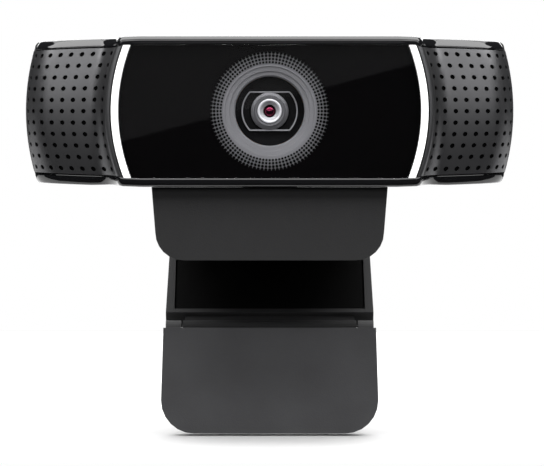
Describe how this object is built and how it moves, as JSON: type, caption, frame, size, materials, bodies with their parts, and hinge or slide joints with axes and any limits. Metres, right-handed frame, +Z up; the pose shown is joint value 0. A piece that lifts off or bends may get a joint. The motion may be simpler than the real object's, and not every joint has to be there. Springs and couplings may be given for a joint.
{
  "type": "clip-on webcam",
  "caption": "Wide webcam head with microphone grilles and lit arcs, tilting on a folding monitor clip that has a camera-thread socket.",
  "frame": {"origin": "middle of the underside of the clip's screen-rest pad", "axes": "+Z up, the lens looks along -Y, +X to the right when facing the lens; the head is symmetric across X apart from its cable outlet"},
  "size_m": [0.0966, 0.071, 0.0809],
  "materials": {
    "window": "polished acrylic panel, black behind",
    "gloss_black": "piano-black gloss",
    "grille_grey": "satin metallic dark grey",
    "matte_black": "fine-textured moulding",
    "rubber": "soft matte rubber",
    "light_white": "milky light pipe",
    "steel": "bright steel",
    "lens_glass": "coated optical glass",
    "board_green": "solder mask over fibreglass board",
    "copper": "copper winding and spring bronze",
    "brass": "machined brass",
    "silicon": "packaged silicon"
  },
  "bodies": {
    "clip": {"clip_base": "matte_black", "screen_rest_pad": "rubber", "lip_pad": "rubber", "tilt_pin": "steel", "arm_pin": "steel", "friction_washer_1": "steel", "friction_washer_2": "steel"},
    "head": {"front_window": "window", "front_frame": "gloss_black", "window_mask": "gloss_black", "left_grille": "grille_grey", "right_grille": "grille_grey", "lens_shroud": "grille_grey", "rear_cover": "matte_black", "hinge_bracket": "matte_black", "focus_cover": "matte_black", "focus_base": "matte_black", "cable_header": "matte_black", "sensor_connector": "matte_black", "cable_gland": "rubber", "left_microphone_boot": "rubber", "right_microphone_boot": "rubber", "left_light_arc": "light_white", "right_light_arc": "light_white", "left_status_led": "light_white", "right_status_led": "light_white", "focus_yoke": "steel", "focus_magnet_1": "steel", "focus_magnet_2": "steel", "focus_magnet_3": "steel", "focus_magnet_4": "steel", "processor_shield": "steel", "left_microphone": "steel", "right_microphone": "steel", "cover_screw_1": "steel", "cover_screw_2": "steel", "cover_screw_3": "steel", "cover_screw_4": "steel", "board_screw_1": "steel", "board_screw_2": "steel", "infrared_filter": "lens_glass", "main_board": "board_green", "sensor_board": "board_green", "left_microphone_board": "board_green", "right_microphone_board": "board_green", "front_focus_spring": "copper", "rear_focus_spring": "copper", "image_sensor": "silicon"},
    "lens": {"lens_barrel": "matte_black", "lens_retaining_ring": "steel", "front_lens_element": "lens_glass", "rear_lens_element": "lens_glass", "lens_carrier": "matte_black", "focus_coil": "copper"},
    "arm": {"arm_frame": "matte_black", "tripod_insert": "brass", "arm_pad": "rubber", "foot_pin": "steel"},
    "foot": {"foot_shell": "matte_black", "foot_pad": "rubber"}
  },
  "joints": [
    {"name": "head_tilt", "type": "hinge", "parent": "clip", "child": "head", "pos_m": [0, 0.0064, 0.0038], "axis": [-1, 0, 0], "range_deg": [0, 25]},
    {"name": "lens_focus", "type": "slide", "parent": "head", "child": "lens", "axis": [0, -1, 0], "range_m": [-0.0002, 0.00025], "stiffness_N_per_m": 20},
    {"name": "arm_fold", "type": "hinge", "parent": "clip", "child": "arm", "pos_m": [0, 0.0539, -0.003], "axis": [1, 0, 0], "range_deg": [-35, 100]},
    {"name": "foot_fold", "type": "hinge", "parent": "arm", "child": "foot", "pos_m": [0, 0.0244, -0.0239], "axis": [1, 0, 0], "range_deg": [-54, 38]}
  ]
}
